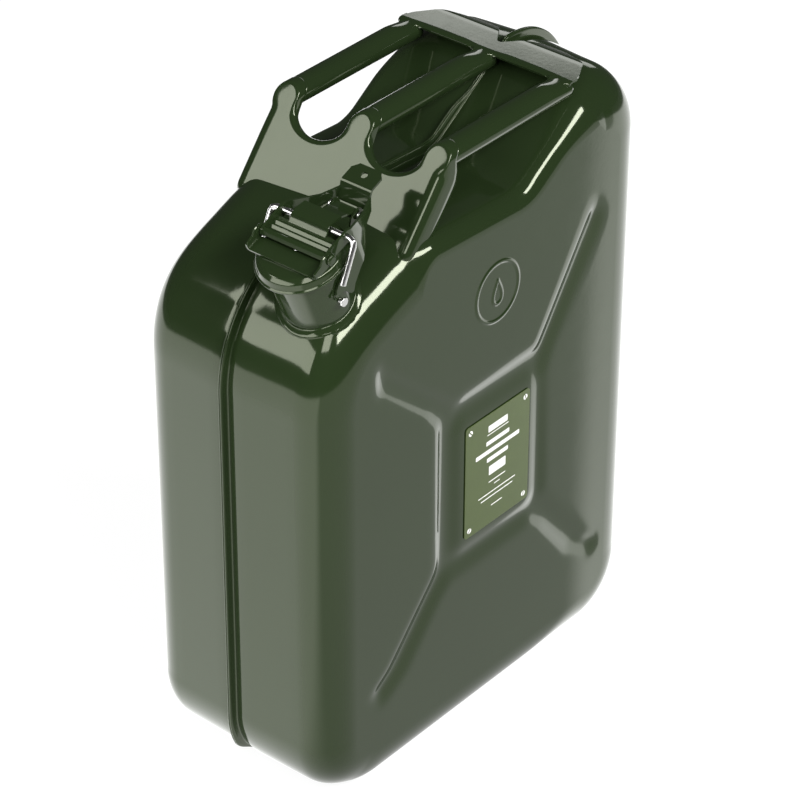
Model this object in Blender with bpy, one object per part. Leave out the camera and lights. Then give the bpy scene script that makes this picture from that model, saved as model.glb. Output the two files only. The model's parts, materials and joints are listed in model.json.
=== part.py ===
"""Jerry can, 20 litre class: pressed steel body, triple handle, side filling neck, lever cap.

Frame: metres, +Z up, the can stands on Z = 0.  X runs from the filling neck (-X) to the
rear (+X), Y runs across the can, and the seam between the two pressed halves lies in Y = 0.
All the driving dimensions below are in millimetres.
"""
import math

import bmesh
import bpy
from mathutils import Matrix, Vector

MM = 0.001

# ---------------------------------------------------------------- body
HALF_LENGTH = 173.2           # half of the seam-plane length, without the flange
HALF_WIDTH = 82.5             # from the seam plane to the flat side face
TOP_Z = 459.5                 # highest point of the rear hump
RAMP_TOP_X = 104.0
RAMP_FOOT = (34.0, 413.6)
SHOULDER_EDGE = (-80.0, 419.6)
FRONT_SHOULDER_Z = 382.9
SHEET = 1.2                   # steel sheet of the body
DRAFT = 0.052                 # the halves narrow towards the flat sides
EDGE_RADIUS = 35.0            # rounding between the rim and the side face
SADDLE_RADIUS = 14.0          # tighter rounding along the handle saddle
SEAM_GAP = 0.15               # half of the gap between the two flanges
FLANGE_OUT = 5.5              # how far the seam flange stands out
FLANGE_SHEET = 1.4            # |y| of the flange's outer side
ROOT_GROOVE = 3.0             # how deep the seam sinks in at the bottom
CHANNEL_DEPTH = 4.0
CHANNEL_SLOPE = 7.0           # width of the sloping channel wall
PAD_DROP = 0.6                # label pad below the side face

# ---------------------------------------------------------------- handle
PLATE_FOOT = (-80.0, 410.0)   # foot line of the front plate
PLATE_ANGLE = 50.7            # degrees from the horizontal
PLATE_LENGTH = 73.5
PLATE_SHEET = 1.5
BAR_RADIUS = 8.75
BAR_SHEET = 1.2
BAR_Z = 459.0
BAR_Y = 64.0
BAR_END_X = 87.6
GAP = 0.3                     # clearance between pieces that touch

# ---------------------------------------------------------------- neck and closure
NECK_TILT = 22.0
CAP_CENTRE = (-147.3, -43.0, 433.5)
NECK_RADIUS = 23.0
NECK_SHEET = 1.2
NECK_LOW = -60.0
NECK_LIP = 24.7
CAP_RADIUS = 31.0
PIVOT = (-1.0, 7.0)           # lever pivot in the closure frame (along, height)
HINGE = (44.5, -8.0)          # cap hinge in the closure frame
BAIL_AXIS = (17.7, 8.0)       # cross wire of the bail
BAIL_RADIUS = 2.25
CHEEK_Y = 26.0
CHEEK_SHEET = 1.8
HOOK = (-0.5, -30.0)          # round corner of the closed hook
STUD = (-3.1, -31.8)
STUD_RADIUS = 2.0


# ---------------------------------------------------------------- helpers
def clear_scene():
    """Start from an empty file."""
    for item in list(bpy.data.objects):
        bpy.data.objects.remove(item, do_unlink=True)


def smoothstep(value, low, high):
    """Ease from 0 at low to 1 at high."""
    t = min(1.0, max(0.0, (value - low) / (high - low)))
    return t * t * (3.0 - 2.0 * t)


def material(name, colour, metallic, roughness):
    """One Principled material."""
    mat = bpy.data.materials.new(name)
    mat.use_nodes = True
    shader = mat.node_tree.nodes["Principled BSDF"]
    shader.inputs["Base Color"].default_value = (*colour, 1.0)
    shader.inputs["Metallic"].default_value = metallic
    shader.inputs["Roughness"].default_value = roughness
    return mat


def add_mesh(name, verts, faces, mat=None, angle=32.0):
    """Make a mesh object from millimetre points, with its faces turned outwards."""
    mesh = bpy.data.meshes.new(name)
    mesh.from_pydata([Vector(v) * MM for v in verts], [], faces)
    bm = bmesh.new()
    bm.from_mesh(mesh)
    bmesh.ops.recalc_face_normals(bm, faces=bm.faces)
    bm.to_mesh(mesh)
    bm.free()
    for polygon in mesh.polygons:
        polygon.use_smooth = len(polygon.vertices) <= 4
    mesh.set_sharp_from_angle(angle=math.radians(angle))
    item = bpy.data.objects.new(name, mesh)
    bpy.context.collection.objects.link(item)
    if mat is not None:
        mesh.materials.append(mat)
    return item


def loft(rings, wrap=False):
    """Faces that join equal rings of points; the ends are capped unless wrap closes the loop."""
    count = len(rings[0])
    verts = [p for ring in rings for p in ring]
    faces = []
    spans = len(rings) if wrap else len(rings) - 1
    for i in range(spans):
        low = i * count
        high = ((i + 1) % len(rings)) * count
        for j in range(count):
            k = (j + 1) % count
            faces.append((low + j, low + k, high + k, high + j))
    if not wrap:
        faces.append(tuple(range(count)))
        faces.append(tuple(range((len(rings) - 1) * count, len(rings) * count)))
    return verts, faces


def placed(points, frame):
    """Points of a local frame in the can's frame."""
    return [tuple(frame @ Vector(p)) for p in points]


def lathe(name, profile, frame, mat, segments=32):
    """Turn a closed (radius, height) loop about the frame's local Z axis."""
    rings = []
    for radius, height in profile:
        ring = []
        for j in range(segments):
            turn = 2.0 * math.pi * j / segments
            ring.append((radius * math.cos(turn), radius * math.sin(turn), height))
        rings.append(placed(ring, frame))
    verts, faces = loft(rings, wrap=True)
    return add_mesh(name, verts, faces, mat)


def turned(name, profile, frame, mat, segments=24):
    """Turn an open (radius, height) profile and cap its two ends."""
    rings = []
    for radius, height in profile:
        ring = []
        for j in range(segments):
            turn = 2.0 * math.pi * j / segments
            ring.append((radius * math.cos(turn), radius * math.sin(turn), height))
        rings.append(placed(ring, frame))
    verts, faces = loft(rings)
    return add_mesh(name, verts, faces, mat)


def prism(name, outline, low, high, place, mat=None, angle=32.0):
    """Extrude a flat outline; place(u, v, w) gives the can-frame point."""
    rings = [[place(u, v, w) for u, v in outline] for w in (low, high)]
    verts, faces = loft(rings)
    return add_mesh(name, verts, faces, mat, angle)


def cutter(item):
    """Mark an object as a construction body that isn't part of the can."""
    item.display_type = "WIRE"
    item.hide_render = True
    return item


def boolean(item, other, operation):
    """Add an exact Boolean with a construction body."""
    mod = item.modifiers.new(other.name, "BOOLEAN")
    mod.operation = operation
    mod.solver = "EXACT"
    mod.object = cutter(other)


def rounded(corners, default=4):
    """Round a polygon's corners; each corner is (u, v, radius) or (u, v, radius, steps)."""
    out = []
    count = len(corners)
    for i in range(count):
        here = Vector(corners[i][:2])
        radius = corners[i][2]
        steps = corners[i][3] if len(corners[i]) > 3 else default
        if radius <= 0.0:
            out.append(tuple(here))
            continue
        before = (Vector(corners[i - 1][:2]) - here).normalized()
        after = (Vector(corners[(i + 1) % count][:2]) - here).normalized()
        half = 0.5 * math.acos(max(-1.0, min(1.0, before.dot(after))))
        centre = here + (before + after).normalized() * (radius / math.sin(half))
        first = here + before * (radius / math.tan(half)) - centre
        last = here + after * (radius / math.tan(half)) - centre
        start = math.atan2(first.y, first.x)
        sweep = math.atan2(last.y, last.x) - start
        sweep = (sweep + math.pi) % (2.0 * math.pi) - math.pi
        for j in range(steps + 1):
            turn = start + sweep * j / steps
            out.append((centre.x + radius * math.cos(turn), centre.y + radius * math.sin(turn)))
    return out


def offset_polygon(points, distance):
    """Move every side of a counter-clockwise polygon inwards by distance."""
    out = []
    count = len(points)
    for i in range(count):
        here = Vector(points[i])
        d0 = (here - Vector(points[i - 1])).normalized()
        d1 = (Vector(points[(i + 1) % count]) - here).normalized()
        n0 = Vector((-d0.y, d0.x))
        n1 = Vector((-d1.y, d1.x))
        mitre = (n0 + n1).normalized()
        out.append(tuple(here + mitre * (distance / max(0.4, mitre.dot(n0)))))
    return out


# ---------------------------------------------------------------- materials
PAINT = (0.025, 0.045, 0.022)


def enamel(part):
    """Stove-enamelled steel of one piece."""
    return material("enamel_" + part, PAINT, 0.0, 0.28)


def plated(part):
    """Zinc-plated steel of one piece."""
    return material("zinc_" + part, (0.62, 0.62, 0.6), 1.0, 0.25)


plate_paint = material("label_olive", (0.16, 0.19, 0.06), 0.0, 0.4)
steel = material("steel_retainer", (0.35, 0.35, 0.35), 1.0, 0.35)
rubber = material("rubber_gasket", (0.02, 0.02, 0.02), 0.0, 0.7)


# ---------------------------------------------------------------- body halves
def seam_outline():
    """Points and outward normals of the body in the seam plane."""
    corners = [
        (-HALF_LENGTH, 0.0, 60.0, 6),
        (HALF_LENGTH, 0.0, 60.0, 6),
        (HALF_LENGTH, TOP_Z, 54.5, 6),
        (RAMP_TOP_X, TOP_Z, 42.0, 3),
        (RAMP_FOOT[0], RAMP_FOOT[1], 30.0, 3),
        (SHOULDER_EDGE[0], SHOULDER_EDGE[1], 30.0, 2),
        (-HALF_LENGTH, FRONT_SHOULDER_Z, 90.0, 6),
    ]
    points = rounded(corners)
    dense = []
    for i, p in enumerate(points):
        q = points[(i + 1) % len(points)]
        dense.append(p)
        span = math.dist(p, q)
        top_side = min(p[1], q[1]) > 380.0
        if top_side and span > 28.0:
            parts = 3 if span > 60.0 else 2
            for j in range(1, parts):
                t = j / parts
                dense.append((p[0] + (q[0] - p[0]) * t, p[1] + (q[1] - p[1]) * t))
    out = []
    count = len(dense)
    for i, p in enumerate(dense):
        d0 = (Vector(p) - Vector(dense[i - 1])).normalized()
        d1 = (Vector(dense[(i + 1) % count]) - Vector(p)).normalized()
        tangent = (d0 + d1).normalized()
        out.append((Vector(p), Vector((tangent.y, -tangent.x))))
    return out


def edge_radius(point, normal):
    """Rounding radius between the rim and the side face."""
    if normal.y < 0.2:
        return EDGE_RADIUS
    x = point.x
    blend = smoothstep(x, -86.0, -58.0) * (1.0 - smoothstep(x, 60.0, 120.0))
    return EDGE_RADIUS + (SADDLE_RADIUS - EDGE_RADIUS) * blend


def body_rings(side, thickness, grow, flange):
    """Rings of one half body; thickness moves the surface inwards, grow moves it outwards."""
    outline = seam_outline()
    stations = []
    if thickness > 0.0:
        stations.append(("root", -1.0, 1.0))
    else:
        stations.append(("flange", SEAM_GAP if flange and grow == 0.0 else -1.0, 1.0))
        stations.append(("flange", FLANGE_SHEET + grow, 1.0))
    stations.append(("root", 1.9 + grow, 1.0))
    stations.append(("root", 4.5, 0.35))
    stations.append(("root", 8.0, 0.0))
    stations.append(("wall", 25.0, 0.0))
    for angle in (0.0, 22.5, 45.0, 67.5, 90.0):
        stations.append(("round", angle, 0.0))
    rings = []
    for kind, value, weight in stations:
        ring = []
        for point, normal in outline:
            down = max(0.0, -normal.y)
            groove = 0.6 + (ROOT_GROOVE - 0.6) * smoothstep(down, 0.45, 0.8)
            draft = DRAFT * (1.0 - down)
            radius = edge_radius(point, normal)
            level = value
            inset = thickness
            if kind == "round":
                turn = math.radians(value)
                reach = radius - thickness + grow
                level = HALF_WIDTH - radius + reach * math.sin(turn)
                inset = radius - reach * math.cos(turn)
            elif kind == "flange":
                fade = smoothstep(down, 0.42, 0.70)
                out = FLANGE_OUT * (1.0 - fade) - 0.8 * fade
                if normal.y > 0.5:
                    under = smoothstep(point.x, 56.0, 76.0) * (1.0 - smoothstep(point.x, 108.0, 122.0))
                    out -= (FLANGE_OUT - 0.6) * under
                inset = -out - grow if flange else groove
            else:
                inset = thickness - grow + groove * weight
            inset += draft * max(0.0, level)
            moved = point - normal * inset
            ring.append((moved.x, side * level, moved.y))
        rings.append(ring)
    return rings


def channel_contours():
    """The X channel at its floor and at the side face, counter-clockwise in (x, z)."""
    corners = [
        (-122, 355, 2), (-118, 325, 2), (-68, 282, 9), (-58, 270, 8), (-58, 158, 8),
        (-61, 151, 6), (-108, 99, 6), (-128, 86, 2), (-115, 73, 2), (-90, 88, 8),
        (-57, 127, 8), (-43, 139, 8), (43, 139, 8), (57, 127, 8), (90, 88, 8),
        (118, 70, 2), (128, 80, 2), (112, 93, 8), (60, 158, 8), (57, 258, 8),
        (64, 275, 8), (120, 356, 2), (108, 372, 2), (62, 304, 9), (48, 283.5, 8),
        (-35, 282, 8), (-61, 303, 9),
    ]
    tips = {0: (-111, 337), 1: (-110, 329), 7: (-111, 88.5), 8: (-106, 85), 15: (106, 86), 16: (108.5, 88),
            21: (107, 347), 22: (105, 350)}
    plan = [(x, z) for x, z, _ in corners]
    inner = offset_polygon(plan, CHANNEL_SLOPE)
    outer = offset_polygon(plan, -1.75)
    floor = []
    above = []
    for i, (_, _, radius) in enumerate(corners):
        spot = tips.get(i, inner[i])
        floor.append((spot[0], spot[1], radius * 0.25 if i in tips else radius * 0.6))
        above.append((outer[i][0], outer[i][1], radius))
    return rounded(floor, default=1), rounded(above, default=1)


def channel_solid(name, side, shift):
    """The body that presses the X channel, with the label pad left standing in it."""
    floor, above = channel_contours()
    face = HALF_WIDTH - shift
    levels = ((floor, face - CHANNEL_DEPTH), (above, face + 1.0))
    rings = [[(x, side * y, z) for x, z in ring] for ring, y in levels]
    verts, faces = loft(rings)
    solid = add_mesh(name, verts, faces)
    low = rounded([(-38, 153, 12, 2), (50, 153, 12, 2), (50, 265, 12, 2), (-38, 265, 12, 2)])
    top = rounded([(-32, 159, 9, 2), (45, 159, 9, 2), (45, 258, 9, 2), (-32, 258, 9, 2)])
    wide = offset_polygon(low, -1.5)
    pad_rings = [
        [(x, side * (face - CHANNEL_DEPTH - 1.0), z) for x, z in wide],
        [(x, side * (face - PAD_DROP), z) for x, z in top],
    ]
    verts, faces = loft(pad_rings)
    pad = add_mesh(name + "_pad", verts, faces)
    boolean(solid, pad, "DIFFERENCE")
    return solid


def closure_frame():
    """Local frame of the neck and cap: along the shoulder, across, and out of the neck."""
    tilt = math.radians(NECK_TILT)
    along = Vector((math.cos(tilt), 0.0, math.sin(tilt)))
    up = Vector((-math.sin(tilt), 0.0, math.cos(tilt)))
    frame = Matrix.Identity(4)
    for row in range(3):
        frame[row][0] = along[row]
        frame[row][1] = 1.0 if row == 1 else 0.0
        frame[row][2] = up[row]
        frame[row][3] = CAP_CENTRE[row]
    return frame


CLOSURE = closure_frame()


def body_half(name, side, mat):
    """One pressed half shell with its flange."""
    verts, faces = loft(body_rings(side, 0.0, 0.0, True))
    shell = add_mesh(name, verts, faces, mat, 24.0)
    boolean(shell, channel_solid(name + "_channel", side, 0.0), "DIFFERENCE")
    circle = [(23.5, -0.5), (23.5, 0.7), (21.3, 0.7), (21.3, -0.5)]
    turn = Matrix.Rotation(-side * math.pi / 2, 4, "X")
    frame = Matrix.Translation((3.0, side * HALF_WIDTH, 348.0)) @ turn
    ring = lathe(name + "_emblem", circle, frame, None, 32)
    boolean(shell, ring, "UNION")
    verts, faces = loft(body_rings(side, SHEET, 0.0, True))
    inner = add_mesh(name + "_inner", verts, faces)
    boolean(inner, channel_solid(name + "_inner_channel", side, SHEET), "DIFFERENCE")
    boolean(shell, inner, "DIFFERENCE")
    if side < 0:
        hole = turned(name + "_hole", [(NECK_RADIUS + GAP, -90.0), (NECK_RADIUS + GAP, -15.0)],
                      CLOSURE, None, 32)
        boolean(shell, hole, "DIFFERENCE")
    return shell


# ---------------------------------------------------------------- handle
PLATE_DIR = Vector((math.cos(math.radians(PLATE_ANGLE)), 0.0, math.sin(math.radians(PLATE_ANGLE))))
PLATE_OUT = Vector((-PLATE_DIR.z, 0.0, PLATE_DIR.x))


def on_plate(s, y, w):
    """Point at s up the front plate, y across it and w in front of its front face."""
    base = Vector((PLATE_FOOT[0], 0.0, PLATE_FOOT[1])) + PLATE_DIR * s + PLATE_OUT * w
    return (base.x, y, base.z)


def trim_to_body(item):
    """Cut a pressing so that its foot follows the body with a small clearance."""
    for side in (-1.0, 1.0):
        verts, faces = loft(body_rings(side, 0.0, GAP, True))
        boolean(item, add_mesh(item.name + "_trim", verts, faces), "DIFFERENCE")


def front_plate(mat):
    """The slanted plate with two U notches and its side flanges."""
    top = PLATE_LENGTH
    outline = rounded([
        (-1.0, -71.0, 3, 1), (-1.0, 71.0, 3, 1), (24.0, 74.4, 20, 1), (top, 74.4, 9, 3),
        (top, 57.5, 6, 2), (46.0, 55.0, 15, 4), (46.0, 14.0, 15, 4), (top, 9.0, 6, 2),
        (top, -7.5, 6, 2), (46.0, -12.0, 15, 4), (46.0, -53.0, 15, 4), (top, -56.0, 6, 2),
        (top, -74.4, 9, 3), (24.0, -74.4, 20, 1),
    ])
    plate = prism("handle_front_plate", outline, -PLATE_SHEET, 0.0, on_plate, mat)
    for side in (-1.0, 1.0):
        wing = rounded([(8.0, -18.0, 3, 1), (60.0, -18.0, 10, 2), (top - 7.0, -0.6, 2, 1), (4.0, -0.6, 0)])

        def on_wing(s, w, y, side=side):
            return on_plate(s, side * y, w)

        flange = prism("plate_wing", wing, 73.1, 74.3, on_wing)
        boolean(plate, flange, "UNION")
        inner = 34.5 if side > 0 else -32.5
        band = []
        for radius in (17.4, 21.2):
            half = []
            for j in range(9):
                turn = math.pi * (0.62 + 0.76 * j / 8.0)
                half.append((61.5 + radius * 0.9 * math.cos(turn), inner + radius * math.sin(turn)))
            band.append(half)
        roll = prism("plate_roll", band[0] + band[1][::-1], -4.0, -0.5, on_plate)
        boolean(plate, roll, "UNION")
    trim_to_body(plate)
    return plate


def bar(name, y, mat):
    """One rolled handle bar, its front end cut to lie against the front plate."""
    segments = 20
    rings = []
    for radius, rear in ((BAR_RADIUS, 0), (BAR_RADIUS, 1), (BAR_RADIUS - BAR_SHEET, 1),
                         (BAR_RADIUS - BAR_SHEET, 0)):
        ring = []
        for j in range(segments):
            turn = 2.0 * math.pi * j / segments
            dy = radius * math.cos(turn)
            dz = radius * math.sin(turn)
            x = BAR_END_X
            if not rear:
                start = Vector(on_plate(0.0, 0.0, -PLATE_SHEET - GAP))
                x = start.x + (BAR_Z + dz - start.z) * PLATE_DIR.x / PLATE_DIR.z
            ring.append((x, y + dy, BAR_Z + dz))
        rings.append(ring)
    verts, faces = loft(rings, wrap=True)
    return add_mesh(name, verts, faces, mat)


def rear_plate(mat):
    """The plate that carries the rear ends of the bars and is welded to the hump."""
    line = [(88.0, 457.0), (88.0, 462.0), (90.5, 464.8), (115.0, 464.9), (121.0, 463.4), (126.5, 460.4)]
    under = [(126.2, 459.9), (120.4, 461.9), (114.8, 463.4), (91.2, 463.3), (89.5, 461.4), (89.5, 457.0)]
    rings = []
    for y in (-74.0, -62.0, -46.0, -24.0, 0.0, 24.0, 46.0, 62.0, 74.0):
        rings.append([(x, y, z) for x, z in line + under])
    verts, faces = loft(rings)
    plate = add_mesh("handle_rear_plate", verts, faces, mat)
    trim = rounded([(70, -90, 0), (86, -74, 8, 2), (100, -71, 12, 2), (119, -60, 14, 3), (129, -38, 8, 2),
                    (129, -19, 2, 1), (102, 0, 3, 2), (129, 19, 2, 1), (129, 38, 8, 2), (119, 60, 14, 3),
                    (100, 71, 12, 2), (86, 74, 8, 2), (70, 90, 0)])
    keep = prism("rear_plate_trim", trim, 440.0, 480.0, lambda u, v, w: (u, v, w))
    boolean(plate, keep, "INTERSECT")
    trim_to_body(plate)
    return plate


def label_plate(mat):
    """The thin plate on the raised pad of the right side."""
    outline = rounded([(-28, 163, 3, 2), (41, 163, 3, 2), (41, 254, 3, 2), (-28, 254, 3, 2)])
    face = HALF_WIDTH - PAD_DROP
    return prism("label_plate", outline, face + 0.25, face + 0.85, lambda u, v, w: (u, -w, v), mat)


# ---------------------------------------------------------------- neck and closure
def local(a, y, h):
    """Closure-frame point in the can's frame."""
    return tuple(CLOSURE @ Vector((a, y, h)))


def side_plate(name, outline, inner, outer, side, bend, mat=None):
    """A flat cheek in the (along, height) plane that bends inwards behind bend[0]."""
    bm = bmesh.new()
    rings = [[bm.verts.new((a, w, h)) for a, h in outline] for w in (inner, outer)]
    count = len(outline)
    for j in range(count):
        k = (j + 1) % count
        bm.faces.new((rings[0][j], rings[0][k], rings[1][k], rings[1][j]))
    bm.faces.new(rings[0])
    bm.faces.new(rings[1])
    for start, _ in bend:
        geometry = bm.verts[:] + bm.edges[:] + bm.faces[:]
        bmesh.ops.bisect_plane(bm, geom=geometry, dist=0.001, plane_co=(start, 0, 0), plane_no=(1, 0, 0))
    for vert in bm.verts:
        drop = 0.0
        for i, (start, slope) in enumerate(bend):
            stop = bend[i + 1][0] if i + 1 < len(bend) else 1.0e6
            drop += max(0.0, min(vert.co.x, stop) - start) * slope
        vert.co.y = side * (vert.co.y - drop)
    verts = [local(*v.co) for v in bm.verts]
    bm.verts.index_update()
    faces = [tuple(v.index for v in f.verts) for f in bm.faces]
    bm.free()
    return add_mesh(name, verts, faces, mat)


def polar(radius, degrees):
    """Point at a radius and direction about the lever pivot, in (along, height)."""
    turn = math.radians(degrees)
    return (PIVOT[0] + radius * math.cos(turn), PIVOT[1] + radius * math.sin(turn))


def arc(radius, first, last, steps):
    """Points of an arc about the lever pivot."""
    return [polar(radius, first + (last - first) * j / steps) for j in range(steps + 1)]


def neck_tube(mat):
    """Round neck with a rolled pouring lip."""
    r = NECK_RADIUS
    inner = r - NECK_SHEET
    profile = [(inner, NECK_LOW), (r, NECK_LOW), (r, -10.0), (23.6, -9.2), (24.4, -8.2), (NECK_LIP, -6.6),
               (24.4, -4.9), (23.7, -4.0), (22.9, -4.0), (22.2, -4.8), (inner, -6.4)]
    return lathe("neck_tube", profile, CLOSURE, mat, 32)


def neck_collar(mat):
    """Weld collar that follows the shoulder around the neck."""
    inner = NECK_RADIUS + GAP
    profile = [(inner, -66.0), (inner + 3.6, -66.0), (inner + 3.2, -38.4), (inner + 1.4, -36.9), (inner, -36.7)]
    collar = lathe("neck_collar", profile, CLOSURE, mat, 32)
    verts, faces = loft(body_rings(-1.0, 0.0, GAP, False))
    grown = add_mesh("collar_shoulder", verts, faces)
    boolean(collar, grown, "DIFFERENCE")
    return collar


def breather_tube(mat):
    """Air tube from the neck's mouth to the air space behind it."""
    path = [(14.5, 0, -14), (14.5, 0, -60), (17.0, 0, -66), (23.0, 0, -69.5), (52.0, 0, -71.0)]
    sections = []
    for i, p in enumerate(path):
        before = Vector(path[max(0, i - 1)])
        after = Vector(path[min(len(path) - 1, i + 1)])
        here = Vector(p)
        d0 = (here - before).normalized() if i > 0 else (after - here).normalized()
        d1 = (after - here).normalized() if i < len(path) - 1 else d0
        tangent = (d0 + d1).normalized()
        stretch = 1.0 / max(0.3, tangent.dot(d0))
        sections.append((here, tangent, stretch))
    rings = []
    for radius, order in ((4.2, 1), (3.3, -1)):
        for here, tangent, stretch in sections[::order]:
            cross = Vector((0, 1, 0)).cross(tangent)
            ring = []
            for j in range(12):
                turn = 2.0 * math.pi * j / 12
                p = here + Vector((0, 1, 0)) * (radius * math.cos(turn))
                p += cross * (radius * stretch * math.sin(turn))
                ring.append(local(*p))
            rings.append(ring)
    verts, faces = loft(rings, wrap=True)
    return add_mesh("breather_tube", verts, faces, mat)


def neck_bracket(mat):
    """Band round the neck with two arms that end in the hinge ears."""
    inner = NECK_RADIUS + GAP
    band = lathe("neck_bracket", [(inner, -34.5), (24.5, -34.5), (24.5, -22.0), (inner, -22.0)], CLOSURE, mat, 32)
    outline = rounded([(-9, -35, 4, 2), (13, -35, 6, 2), (36, -15.6, 3, 1)])
    outline = outline[:-2] + [(36.0, -15.6)]
    for turn in range(-115, 101, 36):
        swing = math.radians(turn)
        outline.append((HINGE[0] + 5.0 * math.cos(swing), HINGE[1] + 5.0 * math.sin(swing)))
    outline += [(38.5, -5.5), (34.0, -12.0), (14.0, -20.0), (-5.0, -20.0), (-9.0, -24.0)]
    for side in (-1.0, 1.0):
        arm = side_plate("bracket_arm", outline, 23.4, 24.7, side, [(11.0, 0.583), (36.0, 0.0)])
        boolean(band, arm, "UNION")
    for side in (-1.0, 1.0):
        hole = along_y("bracket_hole", HINGE, side * 5.0, side * 14.0, 2.03)
        boolean(band, hole, "DIFFERENCE")
    return band


def along_y(name, centre, low, high, radius, mat=None, segments=20):
    """Cylinder along Y at an (along, height) position of the closure."""
    rings = []
    for y in (min(low, high), max(low, high)):
        ring = []
        for j in range(segments):
            turn = 2.0 * math.pi * j / segments
            ring.append(local(centre[0] + radius * math.cos(turn), y, centre[1] + radius * math.sin(turn)))
        rings.append(ring)
    verts, faces = loft(rings)
    return add_mesh(name, verts, faces, mat)


def headed_pin(name, centre, stations, mat, segments=20):
    """Pin along Y made of (y, radius) steps."""
    rings = []
    for y, radius in stations:
        ring = []
        for j in range(segments):
            turn = 2.0 * math.pi * j / segments
            ring.append(local(centre[0] + radius * math.cos(turn), y, centre[1] + radius * math.sin(turn)))
        rings.append(ring)
    verts, faces = loft(rings)
    return add_mesh(name, verts, faces, mat)


def cap_parts():
    """Cap shell, gasket, retainer disc and rivet, turned about the neck's axis."""
    shell = [(2.4, 2.8), (18.0, 2.7), (24.5, 2.2), (27.5, 1.2), (28.8, -0.3), (29.6, -2.4), (30.2, -4.6),
             (31.0, -5.3), (31.0, -6.4), (29.5, -6.4), (29.0, -4.6), (28.4, -2.6), (27.7, -0.9),
             (26.8, 0.0), (24.2, 0.9), (18.0, 1.4), (2.4, 1.6)]
    cap = lathe("cap_shell", shell, CLOSURE, enamel("cap_shell"), 40)
    seal = [(2.4, -0.7), (26.0, -0.7), (26.6, -1.3), (26.6, -3.1), (26.0, -3.7), (2.4, -3.7)]
    gasket = lathe("cap_gasket", seal, CLOSURE, rubber, 32)
    disc = [(2.4, -4.0), (17.5, -4.0), (18.5, -4.5), (18.5, -5.2), (17.0, -4.8), (2.4, -4.8)]
    retainer = lathe("gasket_retainer", disc, CLOSURE, steel, 32)
    shank = [(1.6, 3.5), (2.9, 3.4), (3.3, 3.1), (2.05, 3.1), (2.05, -5.1), (4.0, -5.1), (3.6, -6.1), (2.0, -6.6)]
    rivet = turned("retainer_rivet", shank, CLOSURE, plated("retainer_rivet"), 16)
    return [cap, gasket, retainer, rivet]


def cap_bridge(mat):
    """Plate across the cap with two upright ears for the lever pivots."""
    profile = rounded([(-28.9, 13.0, 0.5, 1), (-28.9, 3.1, 2.4, 3), (28.9, 3.1, 2.4, 3), (28.9, 13.0, 0.5, 1),
                       (27.4, 13.0, 0.5, 1), (27.4, 4.5, 1.0, 2), (-27.4, 4.5, 1.0, 2), (-27.4, 13.0, 0.5, 1)])
    rings = [[local(a, y, h) for y, h in profile] for a in (-16.5, -4.2)]
    verts, faces = loft(rings)
    bridge = add_mesh("cap_bridge", verts, faces, mat)
    ear = rounded([(-15, 3.6, 1, 1), (3.4, 3.6, 2, 1), (4.2, 7.5, 4, 3), (0.5, 12.3, 4.5, 3), (-9, 9.5, 5, 2)])
    for side in (-1.0, 1.0):
        lug = side_plate("bridge_ear", ear, 27.5, 28.8, side, [])
        boolean(bridge, lug, "UNION")
        low_cut = prism("bridge_trim", [(-25, 7.0), (-9.5, 9.6), (-5, 14), (-25, 16)], 26.5, 30.0,
                        lambda u, v, w, side=side: local(u, side * w, v))
        boolean(bridge, low_cut, "DIFFERENCE")
        hole = along_y("bridge_hole", PIVOT, side * 24.0, side * 33.0, 2.03)
        boolean(bridge, hole, "DIFFERENCE")
    return bridge


def hinge_strap(mat):
    """Strap from the top of the cap to the hinge pin."""
    top = [(8.0, 4.3), (24.0, 4.3), (30.0, 3.4), (40.0, -2.2), (45.0, -4.6)]
    under = [(42.0, -5.0), (39.0, -3.4), (29.6, 2.1), (24.0, 3.1), (8.0, 3.1)]
    rings = [[local(a, y, h) for a, h in top + under] for y in (-8.2, 8.2)]
    verts, faces = loft(rings)
    strap = add_mesh("hinge_strap", verts, faces, mat)
    knuckle = along_y("strap_knuckle", HINGE, -8.2, 8.2, 3.6)
    boolean(strap, knuckle, "UNION")
    bore = along_y("strap_bore", HINGE, -12.0, 12.0, 2.03)
    boolean(strap, bore, "DIFFERENCE")
    return strap


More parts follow.
